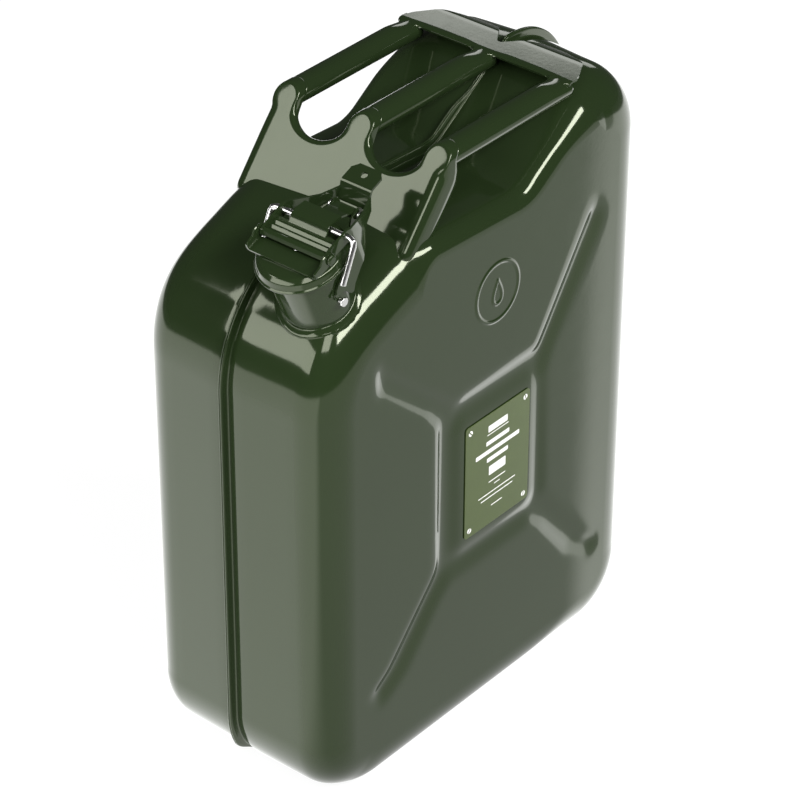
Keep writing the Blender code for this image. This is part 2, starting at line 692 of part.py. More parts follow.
def closure_lever(mat):
    """Pressed lever: two cheeks that grip under the studs, a ribbed web and a finger tab."""
    prong = math.dist(PIVOT, HOOK)
    cheek = arc(3.6, -90.0, -250.0, 8)
    cheek += [(2.0, 11.0), (20.0, 11.3), (26.0, 8.6), (34.0, 4.2), (44.0, -0.8), (57.0, -3.0), (52.0, -9.5),
              (39.0, -9.0), (30.0, -17.5), (20.0, -23.5), (11.5, -30.0), (8.5, -34.4), (6.2, -34.0),
              (4.3, -31.2), (3.3, -28.8)]
    for turn in (40.0, 65.0, 90.0):
        swing = math.radians(turn)
        cheek.append((HOOK[0] + 3.6 * math.cos(swing), HOOK[1] + 3.6 * math.sin(swing)))
    cheek += arc(prong - 3.6, -92.0, -98.0, 2)
    cheek += [polar(prong - 8.0, -96.0)]
    cheek += arc(24.6, -88.0, -16.0, 8)
    cheek += [(17.0, 3.0)]
    bend = [(24.0, 0.435)]
    web = [(-3.6, 5.2), (-4.6, 7.6), (-3.2, 9.6), (-0.6, 10.2), (1.4, 9.0), (2.4, 7.6), (4.4, 8.6), (6.2, 7.6),
           (8.2, 8.6), (10.0, 7.8), (12.0, 8.6), (12.0, 7.1), (10.0, 6.3), (8.2, 7.1), (6.2, 6.1), (4.4, 7.1),
           (2.2, 5.9), (0.6, 7.4), (-0.6, 8.7), (-2.4, 8.4), (-3.2, 7.4), (-2.6, 5.8)]
    tongue = [(11.0, 8.3), (13.0, 9.4), (15.4, 12.2), (20.0, 12.7), (28.6, 10.4), (28.3, 8.9), (20.0, 11.2),
              (16.1, 10.8), (13.8, 8.1), (11.0, 6.9)]
    rear = [(50.6, -9.6), (52.1, -9.9), (59.2, -0.9), (61.0, -0.2), (74.5, 0.0), (74.5, 1.5), (60.4, 1.4),
            (58.0, 0.2)]
    rings = [[local(a, y, h) for a, h in web] for y in (-25.8, 25.8)]
    verts, faces = loft(rings)
    lever = add_mesh("closure_lever", verts, faces, mat, 24.0)
    for side in (-1.0, 1.0):
        plate = side_plate("lever_cheek", cheek, CHEEK_Y - 0.5 * CHEEK_SHEET, CHEEK_Y + 0.5 * CHEEK_SHEET,
                           side, bend)
        boolean(lever, plate, "UNION")
    rings = [[local(a, y, h) for a, h in tongue] for y in (-15.0, 15.0)]
    verts, faces = loft(rings)
    boolean(lever, add_mesh("lever_tongue", verts, faces), "UNION")
    rings = [[local(a, y, h) for a, h in rear] for y in (-12.4, 12.4)]
    verts, faces = loft(rings)
    boolean(lever, add_mesh("lever_rear", verts, faces), "UNION")
    for side in (-1.0, 1.0):
        trim = prism("tab_corner", [(80, 5.0), (80, 16), (66, 16), (70.5, 11.9), (73.4, 9.2)], -6, 6,
                     lambda u, v, w, side=side: local(u, side * v, w))
        boolean(lever, trim, "DIFFERENCE")
        hole = along_y("lever_pivot_hole", PIVOT, side * 22.0, side * 30.0, 2.03)
        boolean(lever, hole, "DIFFERENCE")
        wire = along_y("lever_wire_hole", BAIL_AXIS, side * 22.0, side * 30.0, BAIL_RADIUS + 0.06)
        boolean(lever, wire, "DIFFERENCE")
    eye = turned("tab_hole", [(2.5, -5.0), (2.5, 6.0)], CLOSURE @ Matrix.Translation((67.5, 0, 0)), None, 16)
    boolean(lever, eye, "DIFFERENCE")
    return lever


def locking_bail(mat):
    """Wire bail: a cross wire through the cheeks and two legs beside the cap."""
    a0, h0 = BAIL_AXIS
    leg = Vector((-3.5 - a0, -12.5 - h0)).normalized()
    path = []
    length = math.dist((-3.5, -12.5), BAIL_AXIS)
    path.append((a0 + leg.x * length, -34.0, h0 + leg.y * length))
    path.append((a0 + leg.x * 4.0, -34.0, h0 + leg.y * 4.0))
    path.append((a0 + leg.x * 1.2, -32.9, h0 + leg.y * 1.2))
    path.append((a0, -30.2, h0))
    path += [(a, -y, h) for a, y, h in path[::-1]]
    rings = []
    for i, p in enumerate(path):
        here = Vector(p)
        d0 = (here - Vector(path[i - 1])).normalized() if i > 0 else None
        d1 = (Vector(path[i + 1]) - here).normalized() if i < len(path) - 1 else None
        d0 = d1 if d0 is None else d0
        d1 = d0 if d1 is None else d1
        tangent = (d0 + d1).normalized()
        side = Vector((-leg.y, 0.0, leg.x))
        other = tangent.cross(side).normalized()
        stretch = 1.0 / max(0.4, tangent.dot(d0))
        ring = []
        for j in range(12):
            turn = 2.0 * math.pi * j / 12
            q = here + side * (BAIL_RADIUS * math.cos(turn))
            q += other * (BAIL_RADIUS * stretch * math.sin(turn))
            ring.append(local(*q))
        rings.append(ring)
    verts, faces = loft(rings)
    return add_mesh("locking_bail", verts, faces, mat)


def pivot_pins():
    """Lever pivots, catch studs and the cap's hinge pin."""
    out = []
    for word, side in (("left", 1.0), ("right", -1.0)):
        steps = [(24.4, 2.0), (29.1, 2.0), (29.1, 4.0), (30.4, 3.7), (31.1, 2.4)]
        stations = [(side * y, r) for y, r in steps]
        out.append(headed_pin("pivot_rivet_" + word, PIVOT, stations, plated("pivot_" + word), 16))
        steps = [(25.05, STUD_RADIUS), (28.3, STUD_RADIUS), (28.3, 3.4), (29.4, 3.1)]
        stations = [(side * y, r) for y, r in steps]
        out.append(headed_pin("catch_stud_" + word, STUD, stations, plated("stud_" + word), 16))
    steps = [(-13.2, 2.4), (-12.6, 3.4), (-11.2, 3.4), (-11.2, 2.0), (11.2, 2.0), (11.2, 3.4), (12.6, 3.4),
             (13.2, 2.4)]
    out.append(headed_pin("hinge_pin", HINGE, steps, plated("hinge_pin"), 16))
    return out


# ---------------------------------------------------------------- assembly
clear_scene()
parts = [
    body_half("body_half_right", -1.0, enamel("body_right")),
    body_half("body_half_left", 1.0, enamel("body_left")),
    front_plate(enamel("front_plate")),
    bar("handle_bar_right", -BAR_Y, enamel("bar_right")),
    bar("handle_bar_center", 0.0, enamel("bar_center")),
    bar("handle_bar_left", BAR_Y, enamel("bar_left")),
    rear_plate(enamel("rear_plate")),
    label_plate(plate_paint),
    neck_tube(enamel("neck_tube")),
    neck_collar(enamel("neck_collar")),
    breather_tube(enamel("breather")),
    neck_bracket(enamel("neck_bracket")),
    cap_bridge(enamel("cap_bridge")),
    hinge_strap(enamel("hinge_strap")),
    closure_lever(enamel("lever")),
    locking_bail(plated("bail")),
]
parts += cap_parts()
parts += pivot_pins()
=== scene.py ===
"""Looks of the jerry can: fine pressed-steel meshes, paint, zinc, label and studio round the CAD frame.

Lengths in this script are millimetres in the can's own frame unless a name says otherwise:
X from the filling neck (-X) to the rear (+X), Y across, Z up, the seam plane in Y = 0.
"""
import json
import math

import bmesh
import bpy
import numpy as np
from mathutils import Matrix, Vector
from mathutils.bvhtree import BVHTree

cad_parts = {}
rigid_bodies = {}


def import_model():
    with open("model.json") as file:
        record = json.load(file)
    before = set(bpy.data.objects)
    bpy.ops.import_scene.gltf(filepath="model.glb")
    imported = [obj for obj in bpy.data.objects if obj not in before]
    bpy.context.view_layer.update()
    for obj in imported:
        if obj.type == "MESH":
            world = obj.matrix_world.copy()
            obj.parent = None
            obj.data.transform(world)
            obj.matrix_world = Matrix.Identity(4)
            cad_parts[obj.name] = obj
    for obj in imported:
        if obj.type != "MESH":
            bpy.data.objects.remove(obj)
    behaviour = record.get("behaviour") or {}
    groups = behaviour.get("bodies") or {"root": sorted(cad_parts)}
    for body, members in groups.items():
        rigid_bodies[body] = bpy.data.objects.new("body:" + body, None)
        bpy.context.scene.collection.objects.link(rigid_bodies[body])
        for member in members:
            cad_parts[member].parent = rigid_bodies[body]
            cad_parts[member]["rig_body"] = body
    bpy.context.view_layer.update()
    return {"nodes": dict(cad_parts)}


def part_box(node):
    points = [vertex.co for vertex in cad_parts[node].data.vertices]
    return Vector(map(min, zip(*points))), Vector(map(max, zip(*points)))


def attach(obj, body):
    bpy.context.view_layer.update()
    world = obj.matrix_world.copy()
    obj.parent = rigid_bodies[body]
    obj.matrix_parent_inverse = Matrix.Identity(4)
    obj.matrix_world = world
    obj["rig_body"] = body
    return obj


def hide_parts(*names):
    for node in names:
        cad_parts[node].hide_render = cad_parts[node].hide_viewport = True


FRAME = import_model()
MM = 0.001

# ---------------------------------------------------------------- driving dimensions
FLANGE_OUT = 5.5
HALF_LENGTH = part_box("body_half_left")[1][0] / MM - FLANGE_OUT
HALF_WIDTH = 82.5
TOP_Z = 459.5
SHOULDER_EDGE = (-80.0, 419.6)
RAMP_FOOT = (34.0, 413.6)
RAMP_TOP_X = 104.0
FRONT_SHOULDER_Z = 382.9
SHEET = 1.2
DRAFT = 0.052
EDGE_RADIUS = 35.0
FRONT_EDGE_RADIUS = 27.5
SADDLE_RADIUS = 14.0
GRID = 1.25
GRID_START = (-150.0, 40.0)
CHANNEL_DEPTH = 3.5
EMBLEM = (3.0, 348.0)

PLATE_FOOT = (-80.0, 410.0)
PLATE_ANGLE = math.radians(50.7)
BAR_RADIUS = 8.75
BAR_SPREAD = 1.3
BAR_OUTER = 8.55
BAR_INNER = 7.35
BAR_FLATTENING = 0.325
BAR_Y = 64.0
BAR_Z = 459.0

NECK_TILT = math.radians(22.0)
CAP_CENTRE = (-147.3, -43.0, 433.5)
NECK_BORE = 23.15
BEAD = (24.0, 25.1, 26.3, 27.5, 28.8)
BEAD_RISE = (2.6, 1.35, 0.6, 0.2, 0.02)

# ---------------------------------------------------------------- studio levels
# Glow of the floor in reflections: painted light where a lamp would light the floor, dimmer in a painted
# shadow of the can; and its even glow as the camera sees it. The painted shadow is
# where both lines hold: (direction on the floor, distance along it, softness), in metres.
FLOOR_PAINTED_LIGHT = 2.05
FLOOR_PAINTED_SHADOW = 0.72
FLOOR_SEEN = 0.93
PAINTED_SHADOW_LINES = (((-0.585, -0.811), -0.003, 0.02), ((0.6, -0.8), -0.13, 0.12))


# ---------------------------------------------------------------- small tools
def smoothstep(value, low, high):
    """Ease from 0 at low to 1 at high."""
    t = np.clip((np.asarray(value, dtype=float) - low) / (high - low), 0.0, 1.0)
    return t * t * (3.0 - 2.0 * t)


def build(name, verts, faces, mat, body, nodes=(), smooth=True):
    """Mesh object from millimetre points that rides on a CAD body and stands for CAD nodes."""
    mesh = bpy.data.meshes.new(name)
    mesh.from_pydata((np.asarray(verts, dtype=float) * MM).tolist(), [], faces)
    bm = bmesh.new()
    bm.from_mesh(mesh)
    bmesh.ops.recalc_face_normals(bm, faces=bm.faces)
    bm.to_mesh(mesh)
    bm.free()
    mesh.polygons.foreach_set("use_smooth", [smooth] * len(mesh.polygons))
    mesh.materials.append(mat)
    item = bpy.data.objects.new(name, mesh)
    bpy.context.scene.collection.objects.link(item)
    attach(item, body)
    if nodes:
        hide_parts(*nodes)
    return item


def tube_faces(rings, count, closed=False):
    """Quads between consecutive rings of count points each."""
    faces = []
    last = rings if closed else rings - 1
    for i in range(last):
        low = i * count
        high = ((i + 1) % rings) * count
        for j in range(count):
            k = (j + 1) % count
            faces.append((low + j, low + k, high + k, high + j))
    return faces


def bevel(item, width, segments=3, angle=30.0):
    """Round an object's sharp edges."""
    mod = item.modifiers.new("soft_edges", "BEVEL")
    mod.width = width * MM
    mod.segments = segments
    mod.limit_method = "ANGLE"
    mod.angle_limit = math.radians(angle)
    mod.harden_normals = True
    return item


def fillet(corners, spacing=4.0, arc_step=math.radians(5.0)):
    """Points and outward normals of a counter-clockwise outline with rounded corners."""
    points = []
    normals = []
    count = len(corners)
    tangent_points = []
    for i in range(count):
        here = np.array(corners[i][:2], dtype=float)
        before = np.array(corners[i - 1][:2], dtype=float) - here
        after = np.array(corners[(i + 1) % count][:2], dtype=float) - here
        before /= np.linalg.norm(before)
        after /= np.linalg.norm(after)
        half = 0.5 * math.acos(float(np.clip(before @ after, -1, 1)))
        radius = corners[i][2]
        bisector = (before + after) / np.linalg.norm(before + after)
        centre = here + bisector * radius / math.sin(half)
        first = here + before * radius / math.tan(half)
        last = here + after * radius / math.tan(half)
        convex = before[0] * after[1] - before[1] * after[0] < 0.0
        tangent_points.append((centre, first, last, radius, convex))
    for i in range(count):
        centre, first, last, radius, convex = tangent_points[i]
        a0 = math.atan2(*(first - centre)[::-1])
        sweep = math.atan2(*(last - centre)[::-1]) - a0
        sweep = (sweep + math.pi) % (2 * math.pi) - math.pi
        steps = max(2, int(math.ceil(max(abs(sweep) / arc_step, abs(sweep) * radius / spacing))))
        for j in range(steps + 1):
            turn = a0 + sweep * j / steps
            spoke = np.array((math.cos(turn), math.sin(turn)))
            points.append(centre + radius * spoke)
            normals.append(spoke if convex else -spoke)
        start = last
        stop = tangent_points[(i + 1) % count][1]
        span = np.linalg.norm(stop - start)
        parts = max(1, int(round(span / spacing)))
        for j in range(1, parts):
            points.append(start + (stop - start) * j / parts)
            normals.append(normals[-1])
    return np.array(points), np.array(normals)


def segment_distance(points, start, stop):
    """Distance from each point to a segment."""
    line = stop - start
    t = np.clip(((points - start) @ line) / (line @ line), 0.0, 1.0)
    return np.linalg.norm(points - start - t[:, None] * line, axis=1)


def polygon_distance(points, polygon):
    """Signed distance to a closed polygon, positive inside."""
    best = np.full(len(points), 1.0e9)
    inside = np.zeros(len(points), dtype=bool)
    count = len(polygon)
    for i in range(count):
        a = polygon[i]
        b = polygon[(i + 1) % count]
        best = np.minimum(best, segment_distance(points, a, b))
        crosses = (a[1] > points[:, 1]) != (b[1] > points[:, 1])
        slope = (b[0] - a[0]) / (b[1] - a[1]) if a[1] != b[1] else 0.0
        inside ^= crosses & (points[:, 0] < slope * (points[:, 1] - a[1]) + a[0])
    return np.where(inside, best, -best)


# ---------------------------------------------------------------- materials
def node_material(name):
    """Empty node material: (material, nodes, link function, shader)."""
    mat = bpy.data.materials.new(name)
    mat.use_nodes = True
    tree = mat.node_tree
    shader = tree.nodes["Principled BSDF"]

    def link(a, b):
        tree.links.new(a, b)

    return mat, tree.nodes, link, shader


def noise(nodes, link, coordinates, scale, detail=2.0, rough=0.5):
    """Noise texture in the object's own coordinates."""
    tex = nodes.new("ShaderNodeTexNoise")
    tex.inputs["Scale"].default_value = scale
    tex.inputs["Detail"].default_value = detail
    tex.inputs["Roughness"].default_value = rough
    link(coordinates.outputs["Object"], tex.inputs["Vector"])
    return tex


def ramp(nodes, link, value, low, high):
    """Map a 0 to 1 value to a range."""
    span = nodes.new("ShaderNodeMapRange")
    span.inputs["To Min"].default_value = low
    span.inputs["To Max"].default_value = high
    link(value, span.inputs["Value"])
    return span.outputs["Result"]


def paint(name, colour, roughness=0.07, peel=0.018):
    """Glossy stove enamel on steel: faint orange peel, cloudy colour, dust and fine handling marks."""
    mat, nodes, link, shader = node_material(name)
    place = nodes.new("ShaderNodeTexCoord")
    cloud = noise(nodes, link, place, 9.0, 3.0)
    mix = nodes.new("ShaderNodeMix")
    mix.data_type = "RGBA"
    mix.inputs["A"].default_value = (*[c * 0.88 for c in colour], 1.0)
    mix.inputs["B"].default_value = (*[c * 1.12 for c in colour], 1.0)
    link(cloud.outputs["Fac"], mix.inputs["Factor"])
    link(mix.outputs["Result"], shader.inputs["Base Color"])
    dust = noise(nodes, link, place, 70.0, 6.0, 0.65)
    gloss = ramp(nodes, link, dust.outputs["Fac"], roughness - 0.03, roughness + 0.06)
    link(gloss, shader.inputs["Roughness"])
    fine = noise(nodes, link, place, 300.0, 1.0)
    wide = noise(nodes, link, place, 26.0, 2.0)
    total = nodes.new("ShaderNodeMath")
    total.operation = "MULTIPLY_ADD"
    link(wide.outputs["Fac"], total.inputs[0])
    total.inputs[1].default_value = 3.0
    link(fine.outputs["Fac"], total.inputs[2])
    bump = nodes.new("ShaderNodeBump")
    bump.inputs["Strength"].default_value = peel
    bump.inputs["Distance"].default_value = 0.0005
    link(total.outputs["Value"], bump.inputs["Height"])
    link(bump.outputs["Normal"], shader.inputs["Normal"])
    shader.inputs["IOR"].default_value = 1.47
    shader.inputs["Specular Tint"].default_value = (0.94, 1.0, 0.78, 1.0)
    return mat


def metal(name, colour, roughness, streak=0.35):
    """Zinc plating or bare steel with fine draw marks."""
    mat, nodes, link, shader = node_material(name)
    place = nodes.new("ShaderNodeTexCoord")
    cloud = noise(nodes, link, place, 240.0, 4.0, 0.65)
    mix = nodes.new("ShaderNodeMix")
    mix.data_type = "RGBA"
    mix.inputs["A"].default_value = (*[c * 0.78 for c in colour], 1.0)
    mix.inputs["B"].default_value = (*colour, 1.0)
    link(cloud.outputs["Fac"], mix.inputs["Factor"])
    link(mix.outputs["Result"], shader.inputs["Base Color"])
    gloss = ramp(nodes, link, cloud.outputs["Fac"], roughness - 0.07, roughness + 0.12)
    link(gloss, shader.inputs["Roughness"])
    fine = noise(nodes, link, place, 1500.0, 2.0)
    bump = nodes.new("ShaderNodeBump")
    bump.inputs["Strength"].default_value = streak
    bump.inputs["Distance"].default_value = 0.00005
    link(fine.outputs["Fac"], bump.inputs["Height"])
    link(bump.outputs["Normal"], shader.inputs["Normal"])
    shader.inputs["Metallic"].default_value = 1.0
    return mat


def soft(name, colour, roughness, grain):
    """Rubber or satin print with a fine grain."""
    mat, nodes, link, shader = node_material(name)
    place = nodes.new("ShaderNodeTexCoord")
    cloud = noise(nodes, link, place, 60.0, 5.0, 0.6)
    mix = nodes.new("ShaderNodeMix")
    mix.data_type = "RGBA"
    mix.inputs["A"].default_value = (*[c * 0.82 for c in colour], 1.0)
    mix.inputs["B"].default_value = (*[min(1.0, c * 1.1) for c in colour], 1.0)
    link(cloud.outputs["Fac"], mix.inputs["Factor"])
    link(mix.outputs["Result"], shader.inputs["Base Color"])
    fine = noise(nodes, link, place, 900.0, 3.0)
    gloss = ramp(nodes, link, fine.outputs["Fac"], roughness - 0.08, roughness + 0.08)
    link(gloss, shader.inputs["Roughness"])
    bump = nodes.new("ShaderNodeBump")
    bump.inputs["Strength"].default_value = grain
    bump.inputs["Distance"].default_value = 0.0001
    link(fine.outputs["Fac"], bump.inputs["Height"])
    link(bump.outputs["Normal"], shader.inputs["Normal"])
    return mat


GREEN = (0.0140, 0.0250, 0.0084)
BODY_PAINT = paint("enamel_body", GREEN)
HANDLE_PAINT = paint("enamel_handle", GREEN, 0.07)
CLOSURE_PAINT = paint("enamel_closure", GREEN, 0.08, 0.015)
ZINC = metal("bright_zinc", (0.78, 0.78, 0.76), 0.18)
STEEL = metal("drawn_steel", (0.45, 0.45, 0.44), 0.32)
RUBBER = soft("nitrile_rubber", (0.018, 0.018, 0.018), 0.62, 0.4)
LABEL = soft("label_olive", (0.056, 0.084, 0.015), 0.42, 0.15)
PRINT = soft("label_white", (0.86, 0.86, 0.83), 0.45, 0.1)


# ---------------------------------------------------------------- body halves
def body_outline():
    """Fine outline of the body in the seam plane, counter-clockwise in (x, z)."""
    corners = [
        (-HALF_LENGTH, 0.0, 60.0),
        (HALF_LENGTH, 0.0, 60.0),
        (HALF_LENGTH, TOP_Z, 54.5),
        (RAMP_TOP_X, TOP_Z, 42.0),
        (RAMP_FOOT[0], RAMP_FOOT[1], 30.0),
        (SHOULDER_EDGE[0], SHOULDER_EDGE[1], 60.0),
        (-HALF_LENGTH, FRONT_SHOULDER_Z, 90.0),
    ]
    return fillet(corners, 3.0, math.radians(3.6))


OUTLINE, OUTLINE_NORMALS = body_outline()
DOWN = np.maximum(0.0, -OUTLINE_NORMALS[:, 1])


def edge_radius():
    """Rounding radius between rim and side face at each outline point."""
    x = OUTLINE[:, 0]
    blend = smoothstep(x, -86.0, -58.0) * (1.0 - smoothstep(x, 60.0, 120.0))
    blend *= smoothstep(OUTLINE_NORMALS[:, 1], 0.0, 0.4)
    radius = EDGE_RADIUS + (FRONT_EDGE_RADIUS - EDGE_RADIUS) * smoothstep(-OUTLINE_NORMALS[:, 0], 0.4, 0.95)
    return radius + (SADDLE_RADIUS - radius) * blend


EDGE = edge_radius()
ROOT = 0.6 + (3.0 - 0.6) * smoothstep(DOWN, 0.45, 0.8)
SLOPE = DRAFT * (1.0 - DOWN)


def flange_height():
    """How far the seam flange stands out at each outline point."""
    fade = smoothstep(DOWN, 0.42, 0.70)
    out = FLANGE_OUT * (1.0 - fade) - 0.8 * fade
    x = OUTLINE[:, 0]
    under = smoothstep(x, 56.0, 76.0) * (1.0 - smoothstep(x, 104.0, 114.0))
    under *= OUTLINE_NORMALS[:, 1] > 0.5
    return out - (FLANGE_OUT - 0.6) * under


FLANGE = flange_height()


def body_ring(level, inset):
    """Ring of body points at |y| = level, moved inwards by inset."""
    inset = inset + SLOPE * np.maximum(level, 0.0)
    plan = OUTLINE - OUTLINE_NORMALS * inset[:, None]
    return np.column_stack((plan[:, 0], np.broadcast_to(level, len(plan)), plan[:, 1]))


def relief_map():
    """Depth of the pressed X channel, with the label pad left standing, on a fine grid."""
    contour = np.array([
        (-122, 355), (-118, 325), (-68, 282), (-58, 270), (-58, 158), (-61, 151), (-108, 99), (-128, 86),
        (-115, 73), (-90, 88), (-57, 127), (-43, 139), (43, 139), (57, 127), (90, 88), (118, 70),
        (128, 80), (112, 93), (60, 158), (57, 258), (64, 275), (120, 356), (108, 372), (62, 304),
        (48, 283.5), (-35, 282), (-61, 303),
    ], dtype=float)
    xs = np.arange(GRID_START[0], 150.1, GRID)
    zs = np.arange(GRID_START[1], 400.1, GRID)
    plan = np.stack(np.meshgrid(xs, zs, indexing="ij"), axis=-1).reshape(-1, 2)
    depth = CHANNEL_DEPTH * smoothstep(polygon_distance(plan, contour), -1.0, 7.5)
    away = np.abs(plan - np.array((6.5, 208.5))) - np.array((33.5, 44.5))
    outside = np.linalg.norm(np.maximum(away, 0.0), axis=1) + np.minimum(away.max(axis=1), 0.0)
    depth = np.maximum(0.0, depth - (CHANNEL_DEPTH - 0.6) * (1.0 - smoothstep(outside, 6.0, 14.5)))
    depth = depth.reshape(len(xs), len(zs))
    reach = np.arange(-9, 10)
    kernel = np.exp(-0.5 * (reach / 2.9) ** 2)
    kernel /= kernel.sum()
    for axis in (0, 1):
        depth = np.apply_along_axis(np.convolve, axis, depth, kernel, "same")
    return depth


RELIEF = relief_map()


def channel_relief(plan):
    """Depth of the pressing at (x, z) points, read from the grid."""
    u = np.clip((plan[:, 0] - GRID_START[0]) / GRID, 0.0, RELIEF.shape[0] - 1.001)
    v = np.clip((plan[:, 1] - GRID_START[1]) / GRID, 0.0, RELIEF.shape[1] - 1.001)
    i, j = u.astype(int), v.astype(int)
    u, v = u - i, v - j
    low = RELIEF[i, j] * (1 - u) + RELIEF[i + 1, j] * u
    high = RELIEF[i, j + 1] * (1 - u) + RELIEF[i + 1, j + 1] * u
    return low * (1 - v) + high * v


def droplet_line():
    """Centre line of the embossed droplet, around the emblem's centre."""
    line = []
    for i in range(40):
        turn = 2.0 * math.pi * i / 40
        width = 6.4 * math.sin(turn) * math.sin(0.5 * turn) ** 1.4
        line.append((width, 9.0 * math.cos(turn) - 0.3))
    return np.array(line)


def emblem_relief(plan):
    """Height of the embossed ring and droplet at (x, z) points."""
    offset = plan - np.array(EMBLEM)
    radius = np.linalg.norm(offset, axis=1)
    ring = 1.0 - smoothstep(np.abs(radius - 22.0), 0.2, 2.1)
    line = droplet_line()
    near = np.full(len(plan), 1.0e9)
    for i in range(len(line)):
        near = np.minimum(near, segment_distance(offset, line[i], line[(i + 1) % len(line)]))
    drop = 1.0 - smoothstep(near, 0.3, 1.9)
    return 0.7 * np.maximum(ring, drop)


def body_half(name, side):
    """One pressed half: flange, draft, rounded edge, face with its pressings, and the inside."""
    rings = []
    for level, lift in ((0.15, -0.35), (0.35, -0.08), (0.8, 0.0), (1.15, -0.12), (1.38, -0.45)):
        rings.append(body_ring(level, -FLANGE - lift))
    for level, lift in ((1.45, 0.55), (1.62, 0.14)):
        rings.append(body_ring(level, -FLANGE * lift + ROOT * (1 - lift)))
    for level in (1.95, 2.6, 3.5, 4.6, 6.0, 8.0):
        rings.append(body_ring(level, ROOT * (1.0 - smoothstep(level, 1.6, 8.0))))
    flat = HALF_WIDTH - EDGE
    for t in (0.16, 0.33, 0.5, 0.67, 0.84):
        rings.append(body_ring(8.0 + (flat - 8.0) * t, np.zeros(len(OUTLINE))))
    for step in range(15):
        turn = math.radians(90.0 * step / 14)
        rings.append(body_ring(flat + EDGE * math.sin(turn), EDGE * (1.0 - math.cos(turn))))
    border = rings[-1][:, (0, 2)]
    spokes = border - np.array(EMBLEM)
    reach = np.linalg.norm(spokes, axis=1)
    spokes /= reach[:, None]
    for share in 1.0 - np.arange(1, 112) / 113.0:
        plan = np.array(EMBLEM) + spokes * (26.0 + (reach - 26.0) * share)[:, None]
        rings.append(face_ring(plan, smoothstep((reach - 26.0) * (1.0 - share), 2.0, 26.0)))
    for radius in np.concatenate((np.arange(26.0, 19.4, -0.45), np.arange(19.2, 0.9, -0.6))):
        rings.append(face_ring(np.array(EMBLEM) + spokes * radius))
    inner = [body_ring(HALF_WIDTH - 7.0, EDGE * 1.0)]
    for step in range(6, -1, -1):
        turn = math.radians(90.0 * step / 7)
        small = EDGE - 7.0
        inset = EDGE - small * math.cos(turn) - 5.8 * (1 - step / 7)
        inner.append(body_ring(flat + small * math.sin(turn), inset))
    inner.append(body_ring(8.0, np.full(len(OUTLINE), SHEET)))
    inner.append(body_ring(1.95, ROOT + SHEET))
    inner.append(body_ring(0.15, ROOT + SHEET))
    count = len(OUTLINE)
    outer_total = len(rings)
    rings += inner
    verts = np.concatenate(rings)
    faces = tube_faces(outer_total, count)
    shifted = [tuple(v + outer_total * count for v in f) for f in tube_faces(len(inner), count)]
    faces += shifted
    last = (len(rings) - 1) * count
    faces += [(last + j, last + (j + 1) % count, (j + 1) % count, j) for j in range(count)]
    hub = len(verts)
    start = (outer_total - 1) * count
    inner_start = outer_total * count
    centre = [(EMBLEM[0], HALF_WIDTH, EMBLEM[1]), (EMBLEM[0], HALF_WIDTH - 7.0, EMBLEM[1])]
    verts = np.concatenate((verts, np.array(centre)))
    faces += [(start + j, start + (j + 1) % count, hub) for j in range(count)]
    faces += [(inner_start + (j + 1) % count, inner_start + j, hub + 1) for j in range(count)]
    verts[:, 1] *= side
    return build(name, verts, faces, BODY_PAINT, "can", [name.replace("_skin", "")])


def face_ring(plan, fade=1.0):
    """Ring of points on the side face, with its pressings faded towards the border."""
    height = HALF_WIDTH - channel_relief(plan) * fade + emblem_relief(plan)
    return np.column_stack((plan[:, 0], height, plan[:, 1]))


SKIN_RIGHT = body_half("body_half_right_skin", -1.0)
body_half("body_half_left_skin", 1.0)
SURFACE = BVHTree.FromPolygons([v.co / MM for v in SKIN_RIGHT.data.vertices],
                               [tuple(f.vertices) for f in SKIN_RIGHT.data.polygons])


def pierce(item, cutter_verts, cutter_faces):
    """Cut a hole in an object's mesh with a closed solid."""
    mesh = bpy.data.meshes.new("bore")
    mesh.from_pydata((np.asarray(cutter_verts) * MM).tolist(), [], cutter_faces)
    tool = bpy.data.objects.new("bore", mesh)
    bpy.context.scene.collection.objects.link(tool)
    mod = item.modifiers.new("bore", "BOOLEAN")
    mod.operation = "DIFFERENCE"
    mod.solver = "EXACT"
    mod.object = tool
    graph = bpy.context.evaluated_depsgraph_get()
    cut = bpy.data.meshes.new_from_object(item.evaluated_get(graph))
    item.modifiers.remove(mod)
    item.data = cut
    cut.polygons.foreach_set("use_smooth", [True] * len(cut.polygons))
    bpy.data.objects.remove(tool)


# ---------------------------------------------------------------- handle
PLATE_DIR = np.array((math.cos(PLATE_ANGLE), 0.0, math.sin(PLATE_ANGLE)))
PLATE_OUT = np.array((-math.sin(PLATE_ANGLE), 0.0, math.cos(PLATE_ANGLE)))
TIP_S = (BAR_Z - PLATE_FOOT[1]) / math.sin(PLATE_ANGLE)
TIP_RISE = BAR_RADIUS / math.sin(PLATE_ANGLE)
PLATE_HALF = 74.4
PLATE_SHEET = 1.4
NOTCH_DEPTH = 17.3


